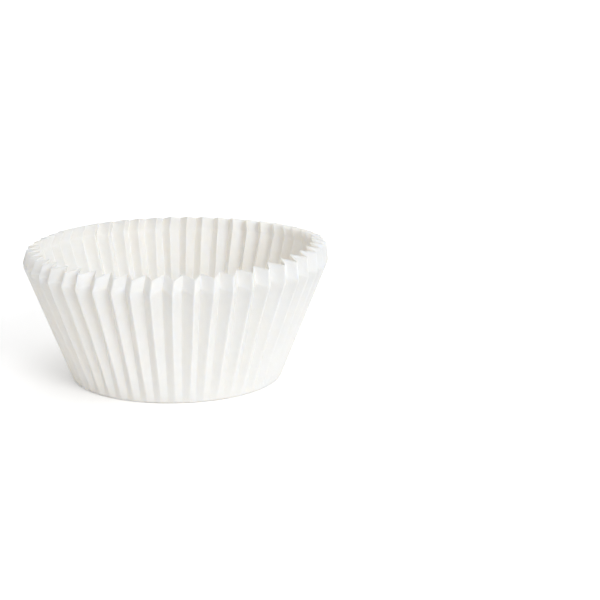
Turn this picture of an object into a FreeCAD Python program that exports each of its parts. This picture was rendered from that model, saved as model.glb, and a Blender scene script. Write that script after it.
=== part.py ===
import FreeCAD, Part
import math
import os

# A fluted paper baking cup. One round sheet of greaseproof paper is pressed between ribbed dies,
# which leaves a flat foot, a wall of flutes that opens outwards, and a short lip folded inwards.
# Millimetres, +Z up. The origin is the middle of the foot, on its underside, and the front of
# the cup faces -Y, with a flute's valley on the front line.

# Driving sizes
foot_diameter = 50.0       # where the line of the wall would meet the ground
mouth_diameter = 72.0      # across the flute ridges at the lip's fold, the widest place
fold_height = 27.9         # from the ground to the lip's fold
lip_height = 3.2           # from the lip's fold to the rim
lip_lean = 0.4             # how far the ridges lean inwards over the lip
corner_radius = 2.0        # of the bend between the foot and the wall
paper_thickness = 0.1
flute_count = 50           # evenly spaced, as the die's ribs are
crease_sharpness = 0.97    # 1 would be knife creases, and near 0 a plain wave
shoulder_share = 0.09      # of a flute, from the middle of a crease to the flat side beside it
low_row_share = 0.27       # how far up the wall the flutes are set out a second time
length_steps = 40          # steps in which a line up the paper is measured

# Sizes that follow from them
foot_radius = foot_diameter / 2
fold_radius = mouth_diameter / 2
wall_angle = math.atan2(fold_height, fold_radius - foot_radius)
corner_cut = corner_radius * math.tan(wall_angle / 2)
corner_path = corner_radius * wall_angle
flat_radius = foot_radius - corner_cut
wall_path = math.hypot(fold_radius - foot_radius, fold_height) - corner_cut
lip_path = math.hypot(lip_lean, lip_height)
sheet_radius = flat_radius + corner_path + wall_path + lip_path


def ridge_line(path):
    """Radius and height of the flute ridges, at a distance along the paper from the flat foot.

    The line is the corner's arc, then the straight wall up to the fold, then the straight lip.
    """
    if path <= corner_path:
        bend = path / corner_radius
        return flat_radius + corner_radius * math.sin(bend), corner_radius * (1 - math.cos(bend))
    left = corner_cut + path - corner_path
    if left <= corner_cut + wall_path:
        return foot_radius + left * math.cos(wall_angle), left * math.sin(wall_angle)
    share = (left - corner_cut - wall_path) / lip_path
    return fold_radius - share * lip_lean, fold_height + share * lip_height


def flute_depth(path):
    """Depth from ridge to valley that takes up the paper: half a flute of the flat sheet is the
    slope of a triangle, and half a flute of the ridge circle is its base."""
    radius, height = ridge_line(path)
    sheet = flat_radius + path
    return math.pi / flute_count * math.sqrt(max(sheet ** 2 - radius ** 2, 0))


def line_height(share, path):
    """Height of the line on the paper that runs inside the ridges by a share of the flute depth.

    Above the corner each short step along the line is as long as it was on the flat sheet. The
    valleys lean outwards less than the ridges do, so they rise further, and the rim is a zigzag.
    """
    if path <= corner_path:
        return ridge_line(path)[1]
    step = (path - corner_path) / length_steps
    radius, height = ridge_line(corner_path)
    radius -= share * flute_depth(corner_path)
    for i in range(length_steps):
        here = corner_path + (i + 1) * step
        moved = ridge_line(here)[0] - share * flute_depth(here) - radius
        radius += moved
        height += math.sqrt(max(step ** 2 - moved ** 2, 0))
    return height


def paper_point(turn, path):
    """Point on the middle of the paper. The turn counts flutes from the valley in front."""
    wave = math.asin(crease_sharpness * math.cos(2 * math.pi * turn)) / math.asin(crease_sharpness)
    share = (1 + wave) / 2
    radius = ridge_line(path)[0] - share * flute_depth(path)
    angle = 2 * math.pi * turn / flute_count
    height = line_height(share, path) + paper_thickness / 2
    return FreeCAD.Vector(radius * math.sin(angle), -radius * math.cos(angle), height)


def paper_normal(turn, path):
    """Outward direction of the paper, level with the ground's normal where the foot is flat."""
    if path == 0:
        return FreeCAD.Vector(0, 0, -1)
    step = 0.001
    above = min(path + step, corner_path + wall_path + lip_path)
    along = paper_point(turn + step, path) - paper_point(turn - step, path)
    upward = paper_point(turn, above) - paper_point(turn, path - step)
    return along.cross(upward).normalize()


def paper_ring(path, side):
    """Closed ring of points round the cup: six for each flute, three on its ridge's crease and
    three in its valley's. The side is 1 for the outer face of the paper and -1 for the inner."""
    turns = []
    for flute in range(flute_count):
        for middle in (flute, flute + 0.5):
            turns += [middle - shoulder_share, middle, middle + shoulder_share]
    reach = side * paper_thickness / 2
    return [paper_point(turn, path) + paper_normal(turn, path) * reach for turn in turns]


def triangle(a, b, c):
    return Part.Face(Part.makePolygon([a, b, c, a]))


def band(lower, upper):
    """Flat triangles between two rings, two for each pair of neighbouring points."""
    faces = []
    for i in range(len(lower)):
        j = (i + 1) % len(lower)
        faces.append(triangle(lower[i], lower[j], upper[j]))
        faces.append(triangle(lower[i], upper[j], upper[i]))
    return faces


def disc(ring):
    return [Part.Face(Part.makePolygon(ring + ring[:1]))]


def fluted_cup():
    """The pressed sheet as one closed solid: its outer face, its inner face and the cut edge."""
    rows = [
        0.0,
        corner_path / 2,
        corner_path,
        corner_path + low_row_share * wall_path,
        corner_path + wall_path,
        corner_path + wall_path + lip_path,
    ]
    outer = [paper_ring(path, 1) for path in rows]
    inner = [paper_ring(path, -1) for path in rows]
    faces = disc(outer[0]) + disc(inner[0])
    for side in (outer, inner):
        for lower, upper in zip(side, side[1:]):
            faces += band(lower, upper)
    faces += band(outer[-1], inner[-1])
    shell = Part.Shell(faces)
    shell.sewShape()
    return Part.Solid(Part.Shell(shell.Faces))


os.makedirs("parts", exist_ok=True)
cup = fluted_cup()
if cup.Volume < 0:
    cup.reverse()
cup.exportStep("parts/fluted_paper_cup.step")
print("solid", cup.isValid(), "closed", cup.isClosed(), "faces", len(cup.Faces))
print("volume mm3", round(cup.Volume, 2), "flat sheet across mm", round(2 * sheet_radius, 1))
print("box mm", cup.BoundBox)
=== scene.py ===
import math

import bpy
import numpy as np
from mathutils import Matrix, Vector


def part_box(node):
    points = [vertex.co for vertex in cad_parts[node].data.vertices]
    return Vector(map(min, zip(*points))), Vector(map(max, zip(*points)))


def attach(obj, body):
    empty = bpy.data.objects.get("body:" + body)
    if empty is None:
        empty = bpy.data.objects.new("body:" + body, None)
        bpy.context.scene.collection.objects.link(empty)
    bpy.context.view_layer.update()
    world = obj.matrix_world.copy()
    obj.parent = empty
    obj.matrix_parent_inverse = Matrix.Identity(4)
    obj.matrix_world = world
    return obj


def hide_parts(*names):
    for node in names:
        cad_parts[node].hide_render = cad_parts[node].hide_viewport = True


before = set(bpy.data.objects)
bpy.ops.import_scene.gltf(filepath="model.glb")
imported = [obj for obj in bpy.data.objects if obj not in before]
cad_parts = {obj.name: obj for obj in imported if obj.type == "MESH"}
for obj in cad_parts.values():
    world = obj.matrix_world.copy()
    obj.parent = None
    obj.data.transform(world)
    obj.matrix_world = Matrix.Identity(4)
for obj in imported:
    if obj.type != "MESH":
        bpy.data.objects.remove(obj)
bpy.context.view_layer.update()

# The pressed sheet: form
# One round sheet of greaseproof baking paper, pressed between ribbed dies into a flat foot and a
# wall of flutes. A second stroke of the press folds the top of the wall over as a short lip.
FLUTES = 50
FLUTE_SPREAD = 0.02
PAPER_THICKNESS = 0.0001
FOOT_RADIUS = 0.025
FOLD_HEIGHT = 0.0279
LIP_HEIGHT = 0.0032
LIP_LEAN = 0.0006
LIP_PUSH_RIGHT = 0.0003
LIP_PUSH_BACK = 0.0015
SHEET_OFF_CENTRE = 0.0003
LIP_STRETCH = 0.0013
LIP_STRETCH_BEARING = math.radians(78)
LIP_STRETCH_NARROWNESS = 6
CORNER_RADIUS = 0.0008
FOLD_BEND_RADIUS = 0.0012
LOW_SHARPNESS = 0.95
SHARPNESS_GAINED = 0.025
RIDGE_STEPS = 6000
lowest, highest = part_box("fluted_paper_cup")
FOLD_RADIUS = highest.x - PAPER_THICKNESS / 2

wall_angle = math.atan2(FOLD_HEIGHT, FOLD_RADIUS - FOOT_RADIUS)
lip_angle = math.pi / 2 + math.atan2(LIP_LEAN, LIP_HEIGHT)
corner_cut = CORNER_RADIUS * math.tan(wall_angle / 2)
fold_cut = FOLD_BEND_RADIUS * math.tan((lip_angle - wall_angle) / 2)
flat_radius = FOOT_RADIUS - corner_cut
corner_end = flat_radius + CORNER_RADIUS * wall_angle
wall_length = math.hypot(FOLD_RADIUS - FOOT_RADIUS, FOLD_HEIGHT) - corner_cut - fold_cut
fold_start = corner_end + wall_length
fold_end = fold_start + FOLD_BEND_RADIUS * (lip_angle - wall_angle)
sheet_radius = fold_end + math.hypot(LIP_LEAN, LIP_HEIGHT) - fold_cut


def ridge_line(sheet):
    """Radius and height of the flute ridges at a distance from the sheet's middle.

    The slope angle of the line is level over the foot, turns evenly through the corner, stays
    on the wall, turns again at the fold and stays on the lip. Radius and height are the running
    sums of its cosine and sine.
    """
    fine = np.linspace(0, sheet_radius + SHEET_OFF_CENTRE + LIP_STRETCH, RIDGE_STEPS)
    slope = np.interp(
        fine,
        [0, flat_radius, corner_end, fold_start, fold_end, fine[-1]],
        [0, 0, wall_angle, wall_angle, lip_angle, lip_angle],
    )
    step = fine[1]
    radius = np.concatenate([[0], np.cumsum(np.cos((slope[1:] + slope[:-1]) / 2)) * step])
    height = np.concatenate([[0], np.cumsum(np.sin((slope[1:] + slope[:-1]) / 2)) * step])
    return np.interp(sheet, fine, radius), np.interp(sheet, fine, height)


def round_the_cup(turn, values):
    """Values given at each crease, valleys and ridges in turn, run evenly from one to the next."""
    return np.interp(turn * 2, np.arange(2 * FLUTES + 1), np.append(values, values[0]))


# What handling has done to each crease: shifts and bows as shares of a flute, pushes in metres.
HANDLING_SEED = 50
TYPICAL_SHIFT = 0.035
TYPICAL_BOW = 0.030
TYPICAL_PUSH = 0.00010
TYPICAL_LIP_TILT = 0.00016
chance = np.random.default_rng(HANDLING_SEED)
crease_shift = chance.normal(0, TYPICAL_SHIFT, 2 * FLUTES)
crease_bow = chance.normal(0, TYPICAL_BOW, 2 * FLUTES)
crease_push = chance.normal(0, TYPICAL_PUSH, 2 * FLUTES)
lip_tilt = chance.normal(0, TYPICAL_LIP_TILT, 2 * FLUTES)


def paper_surface(turn, sheet):
    """Middle of the paper, for turns counted in flutes from the front and distances from the
    sheet's middle.

    Half a flute of the flat sheet is the slope of a triangle and half a flute of the ridge
    circle is its base, so its height is the depth that the flute takes up. The wave between
    ridge and valley is the arcsine of a cosine: a zigzag whose creases are a little round. The
    flutes at the two sides stand a little further back than even spacing would put them. Small
    shifts of each crease, which grow up the wall, and bows between its ends are what handling
    leaves in such thin paper, and so is the lip's push towards the back and the right. The lip
    is longer at the front, where the sheet lay off the die's centre, and at the right, where it
    was pulled up. Above the corner each step up the paper keeps the length that it has on the
    flat sheet, so the rise is what the step's move across leaves of it.
    """
    turn, sheet = np.meshgrid(turn, sheet)
    angle = 2 * np.pi * turn / FLUTES
    angle = angle + FLUTE_SPREAD * np.sin(angle)
    lip = np.clip((sheet - fold_start) / (sheet_radius - fold_start), 0, 1)
    stretched = ((1 + np.cos(angle - LIP_STRETCH_BEARING)) / 2) ** LIP_STRETCH_NARROWNESS
    sheet = sheet + lip * (SHEET_OFF_CENTRE * np.cos(angle) + LIP_STRETCH * stretched)
    radius, height = ridge_line(sheet)
    depth = np.pi / FLUTES * np.sqrt(np.maximum(sheet**2 - radius**2, 0))
    growth = np.clip((sheet - flat_radius) / (fold_start - flat_radius), 0, 1)
    sharpness = LOW_SHARPNESS + SHARPNESS_GAINED * growth
    phase = turn + round_the_cup(turn, crease_shift) * growth
    phase += round_the_cup(turn, crease_bow) * np.sin(np.pi * growth)
    wave = np.arcsin(sharpness * np.cos(2 * np.pi * phase)) / np.arcsin(sharpness)
    radius = radius - depth * (1 + wave) / 2
    radius += round_the_cup(turn, crease_push) * growth**2 + round_the_cup(turn, lip_tilt) * lip
    across = radius * np.sin(angle) + lip * LIP_PUSH_RIGHT
    along = -radius * np.cos(angle) + lip * LIP_PUSH_BACK
    moved = np.diff(across, axis=0) ** 2 + np.diff(along, axis=0) ** 2
    rise = np.sqrt(np.maximum(np.diff(sheet, axis=0) ** 2 - moved, 0))
    bottom = np.count_nonzero(sheet[:, 0] <= corner_end) - 1
    height[bottom + 1:] = height[bottom] + np.cumsum(rise[bottom:], axis=0)
    return np.stack([across, along, height + PAPER_THICKNESS / 2], -1)


# Columns stand closer together beside each crease, and rows in the corner and the fold.
HALF_FLUTE_TURNS = np.array([0, 0.02, 0.05, 0.10, 0.25, 0.40, 0.45, 0.48])
FOOT_BANDS = 4
BEND_BANDS = 5
WALL_BANDS = 27
LIP_BANDS = 6
turn_line = (np.arange(2 * FLUTES)[:, None] / 2 + HALF_FLUTE_TURNS).ravel()
sheet_line = np.concatenate([
    np.linspace(0, flat_radius, FOOT_BANDS + 1)[1:-1],
    np.linspace(flat_radius, corner_end, BEND_BANDS + 1)[:-1],
    np.linspace(corner_end, fold_start, WALL_BANDS + 1)[:-1],
    np.linspace(fold_start, fold_end, BEND_BANDS + 1)[:-1],
    np.linspace(fold_end, sheet_radius, LIP_BANDS + 1),
])
columns = len(turn_line)
rows = len(sheet_line)
grid = paper_surface(turn_line, sheet_line)
vertices = np.concatenate([grid.reshape(-1, 3), [[0, 0, PAPER_THICKNESS / 2]]])
row, column = np.meshgrid(np.arange(rows - 1), np.arange(columns), indexing="ij")
beside = (column + 1) % columns
quads = np.stack(
    [
        row * columns + column,
        row * columns + beside,
        (row + 1) * columns + beside,
        (row + 1) * columns + column,
    ],
    -1,
).reshape(-1, 4)

# A fan of triangles closes the middle of the foot.
first = np.arange(columns)
fan = np.stack([np.full(columns, rows * columns), (first + 1) % columns, first], -1)

cup_mesh = bpy.data.meshes.new("paper_cup")
cup_mesh.from_pydata(vertices.tolist(), [], quads.tolist() + fan.tolist())
cup_mesh.polygons.foreach_set("use_smooth", [True] * len(cup_mesh.polygons))
cup = bpy.data.objects.new("paper_cup", cup_mesh)
bpy.context.scene.collection.objects.link(cup)
both_faces = cup.modifiers.new("paper thickness", "SOLIDIFY")
both_faces.thickness = PAPER_THICKNESS
both_faces.offset = 0
both_faces.use_even_offset = True

# The pressed sheet: finish
# Bleached greaseproof paper: warm white and half see-through, matt with a faint sheen, cloudy and
# grained along the way it ran through the paper machine, and a little whiter in its creases.
THIN_SPOT_COLOUR = (0.870, 0.840, 0.787, 1)
THICK_SPOT_COLOUR = (0.894, 0.865, 0.815, 1)
CREASE_COLOUR = (0.920, 0.915, 0.900, 1)
CREASE_WHITENING = 0.1
LIGHT_REACH = 0.0006
CLOUDS_PER_MAP = 55
FIBRES_PER_MAP = 420
FIBRE_SHARE = 0.4
GRAIN_BEARING = math.radians(35)
COCKLES_PER_MAP = 28
COCKLE_DEPTH = 0.00012
FIBRE_DEPTH = 0.00002

# The paper's patterns lie on the flat sheet, which has a map of its own, 120 mm wide.
SHEET_MAP_WIDTH = 0.12
flat_turn, flat_distance = np.meshgrid(2 * np.pi * turn_line / FLUTES, sheet_line)
flat_place = np.stack([flat_distance * np.sin(flat_turn), -flat_distance * np.cos(flat_turn)], -1)
flat_place = np.concatenate([flat_place.reshape(-1, 2), [[0, 0]]]) / SHEET_MAP_WIDTH + 0.5
corner_vertex = np.zeros(len(cup_mesh.loops), dtype=np.int32)
cup_mesh.loops.foreach_get("vertex_index", corner_vertex)
flat_sheet = cup_mesh.uv_layers.new(name="flat_sheet")
flat_sheet.uv.foreach_set("vector", flat_place[corner_vertex].ravel())

# Marks on the surface: where the creases are, and what stands free of the table.
on_crease = np.tile(HALF_FLUTE_TURNS == 0, 2 * FLUTES)
up_the_wall = np.clip((sheet_line - flat_radius) / (corner_end - flat_radius), 0, 1)
crease_line = np.append(np.outer(up_the_wall, on_crease).ravel(), 0)
crease = cup_mesh.attributes.new("crease", "FLOAT", "POINT")
crease.data.foreach_set("value", crease_line)
free_line = np.append(np.repeat(up_the_wall, columns), 0)
free = cup_mesh.attributes.new("free_of_the_table", "FLOAT", "POINT")
free.data.foreach_set("value", free_line)

paper = bpy.data.materials.new("greaseproof_paper")
paper.use_nodes = True
tree = paper.node_tree
shader = tree.nodes["Principled BSDF"]
shader.inputs["Specular IOR Level"].default_value = 0.35
shader.inputs["Subsurface Radius"].default_value = (1.0, 0.85, 0.68)
shader.inputs["Subsurface Scale"].default_value = LIGHT_REACH

# The wall and the lip let light through, and the foot lies on the table, so it lets none through.
free_mask = tree.nodes.new("ShaderNodeAttribute")
free_mask.attribute_name = "free_of_the_table"
tree.links.new(free_mask.outputs["Fac"], shader.inputs["Subsurface Weight"])

# The clouds are the paper's thick and thin spots, and the fibres run one way across the sheet.
place = tree.nodes.new("ShaderNodeUVMap")
place.uv_map = "flat_sheet"
cloud = tree.nodes.new("ShaderNodeTexNoise")
cloud.inputs["Scale"].default_value = CLOUDS_PER_MAP
cloud.inputs["Detail"].default_value = 3
tree.links.new(place.outputs["UV"], cloud.inputs["Vector"])

grain_way = tree.nodes.new("ShaderNodeMapping")
grain_way.inputs["Rotation"].default_value = (0, 0, GRAIN_BEARING)
grain_way.inputs["Scale"].default_value = (1, 0.2, 1)
tree.links.new(place.outputs["UV"], grain_way.inputs["Vector"])
fibre = tree.nodes.new("ShaderNodeTexNoise")
fibre.inputs["Scale"].default_value = FIBRES_PER_MAP
fibre.inputs["Detail"].default_value = 5
fibre.inputs["Roughness"].default_value = 0.6
tree.links.new(grain_way.outputs["Vector"], fibre.inputs["Vector"])

thickness = tree.nodes.new("ShaderNodeMix")
thickness.data_type = "FLOAT"
thickness.inputs["Factor"].default_value = FIBRE_SHARE
tree.links.new(cloud.outputs["Fac"], thickness.inputs["A"])
tree.links.new(fibre.outputs["Fac"], thickness.inputs["B"])
tint = tree.nodes.new("ShaderNodeValToRGB")
tint.color_ramp.elements[0].position = 0.35
tint.color_ramp.elements[0].color = THIN_SPOT_COLOUR
tint.color_ramp.elements[1].position = 0.65
tint.color_ramp.elements[1].color = THICK_SPOT_COLOUR
tree.links.new(thickness.outputs["Result"], tint.inputs["Fac"])

# Pressing bruises the paper along each crease, which is a little whiter.
crease_mask = tree.nodes.new("ShaderNodeAttribute")
crease_mask.attribute_name = "crease"
crease_share = tree.nodes.new("ShaderNodeMath")
crease_share.operation = "MULTIPLY"
crease_share.inputs[1].default_value = CREASE_WHITENING
tree.links.new(crease_mask.outputs["Fac"], crease_share.inputs[0])
crease_white = tree.nodes.new("ShaderNodeMix")
crease_white.data_type = "RGBA"
crease_white.inputs["B"].default_value = CREASE_COLOUR
tree.links.new(crease_share.outputs["Value"], crease_white.inputs["Factor"])
tree.links.new(tint.outputs["Color"], crease_white.inputs["A"])
tree.links.new(crease_white.outputs["Result"], shader.inputs["Base Color"])

# Dense fibres have more sheen.
sheen = tree.nodes.new("ShaderNodeMapRange")
sheen.inputs["From Min"].default_value = 0.3
sheen.inputs["From Max"].default_value = 0.7
sheen.inputs["To Min"].default_value = 0.70
sheen.inputs["To Max"].default_value = 0.54
tree.links.new(fibre.outputs["Fac"], sheen.inputs["Value"])
tree.links.new(sheen.outputs["Result"], shader.inputs["Roughness"])

# Cockles, the shallow waves of thin paper, under the relief of the fibres.
cockle = tree.nodes.new("ShaderNodeTexNoise")
cockle.inputs["Scale"].default_value = COCKLES_PER_MAP
cockle.inputs["Detail"].default_value = 1
tree.links.new(place.outputs["UV"], cockle.inputs["Vector"])
cockle_bump = tree.nodes.new("ShaderNodeBump")
cockle_bump.inputs["Strength"].default_value = 1
cockle_bump.inputs["Distance"].default_value = COCKLE_DEPTH
tree.links.new(cockle.outputs["Fac"], cockle_bump.inputs["Height"])
fibre_bump = tree.nodes.new("ShaderNodeBump")
fibre_bump.inputs["Strength"].default_value = 1
fibre_bump.inputs["Distance"].default_value = FIBRE_DEPTH
tree.links.new(fibre.outputs["Fac"], fibre_bump.inputs["Height"])
tree.links.new(cockle_bump.outputs["Normal"], fibre_bump.inputs["Normal"])
tree.links.new(fibre_bump.outputs["Normal"], shader.inputs["Normal"])
cup_mesh.materials.append(paper)

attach(cup, "root")
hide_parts("fluted_paper_cup")

# The stage
# A pale level sheet just under the cup. The lift, which only the camera sees, makes it white and
# leaves the cup's soft shadow on it.
FLOOR_REACH = 4.0
FLOOR_LEVEL = -0.00005
FLOOR_LIFT = 0.29
floor_mesh = bpy.data.meshes.new("floor")
floor_corners = [
    (-FLOOR_REACH, -FLOOR_REACH, FLOOR_LEVEL),
    (FLOOR_REACH, -FLOOR_REACH, FLOOR_LEVEL),
    (FLOOR_REACH, FLOOR_REACH, FLOOR_LEVEL),
    (-FLOOR_REACH, FLOOR_REACH, FLOOR_LEVEL),
]
floor_mesh.from_pydata(floor_corners, [], [(0, 1, 2, 3)])
floor = bpy.data.objects.new("floor", floor_mesh)
bpy.context.scene.collection.objects.link(floor)
floor_finish = bpy.data.materials.new("pale_floor")
floor_finish.use_nodes = True
floor_tree = floor_finish.node_tree
floor_shader = floor_tree.nodes["Principled BSDF"]
floor_shader.inputs["Base Color"].default_value = (0.92, 0.92, 0.92, 1)
floor_shader.inputs["Roughness"].default_value = 1
floor_shader.inputs["Specular IOR Level"].default_value = 0
floor_shader.inputs["Emission Color"].default_value = (1, 1, 1, 1)
ray = floor_tree.nodes.new("ShaderNodeLightPath")
lift = floor_tree.nodes.new("ShaderNodeMath")
lift.operation = "MULTIPLY"
lift.inputs[1].default_value = FLOOR_LIFT
floor_tree.links.new(ray.outputs["Is Camera Ray"], lift.inputs[0])
floor_tree.links.new(lift.outputs["Value"], floor_shader.inputs["Emission Strength"])
floor_mesh.materials.append(floor_finish)

# The light
# An even surround and five large soft lamps, as in a white light tent: the main one from the right
# of the camera, a low one beside the camera, one on the right, one behind and one overhead. The
# left is the dark side.
SURROUND_STRENGTH = 0.335
world = bpy.data.worlds.new("white_surround")
bpy.context.scene.world = world
world.use_nodes = True
sky = world.node_tree
surround = sky.nodes["Background"]
surround.inputs["Color"].default_value = (1, 1, 1, 1)
surround.inputs["Strength"].default_value = SURROUND_STRENGTH
backdrop = sky.nodes.new("ShaderNodeBackground")
sky_ray = sky.nodes.new("ShaderNodeLightPath")
seen = sky.nodes.new("ShaderNodeMixShader")
sky.links.new(sky_ray.outputs["Is Camera Ray"], seen.inputs[0])
sky.links.new(surround.outputs[0], seen.inputs[1])
sky.links.new(backdrop.outputs[0], seen.inputs[2])
sky.links.new(seen.outputs[0], sky.nodes["World Output"].inputs["Surface"])

# Each lamp's bearing from the front towards the right, its elevation and spread in degrees, and
# its strength.
LAMPS = {
    "main_lamp": (35, 25, 30, 1.31),
    "front_lamp": (10, 15, 40, 0.45),
    "right_lamp": (85, 35, 45, 0.52),
    "back_lamp": (170, 35, 80, 0.54),
    "top_lamp": (0, 85, 40, 0.64),
}
for lamp_name, (bearing, elevation, spread, strength) in LAMPS.items():
    lamp_data = bpy.data.lights.new(lamp_name, "SUN")
    lamp_data.angle = math.radians(spread)
    lamp_data.energy = strength
    lamp = bpy.data.objects.new(lamp_name, lamp_data)
    bpy.context.scene.collection.objects.link(lamp)
    lamp.rotation_euler = (math.radians(90 - elevation), 0, math.radians(bearing))

# The camera
# In front of the cup, to its right and 14 degrees above, so that the cup stands left of centre.
# It looks 14.08 degrees down and 0.85 degrees to the left of straight ahead.
CAMERA_PLACE = (0.0356, -0.4015, 0.1189)
CAMERA_DOWN = 14.08
CAMERA_LEFT = 0.85
camera_data = bpy.data.cameras.new("camera")
camera_data.lens = 103.9
camera_data.sensor_width = 36
camera = bpy.data.objects.new("camera", camera_data)
bpy.context.scene.collection.objects.link(camera)
camera.location = CAMERA_PLACE
camera.rotation_euler = (math.radians(90 - CAMERA_DOWN), 0, math.radians(CAMERA_LEFT))
bpy.context.scene.camera = camera
bpy.context.scene.view_settings.view_transform = "Standard"
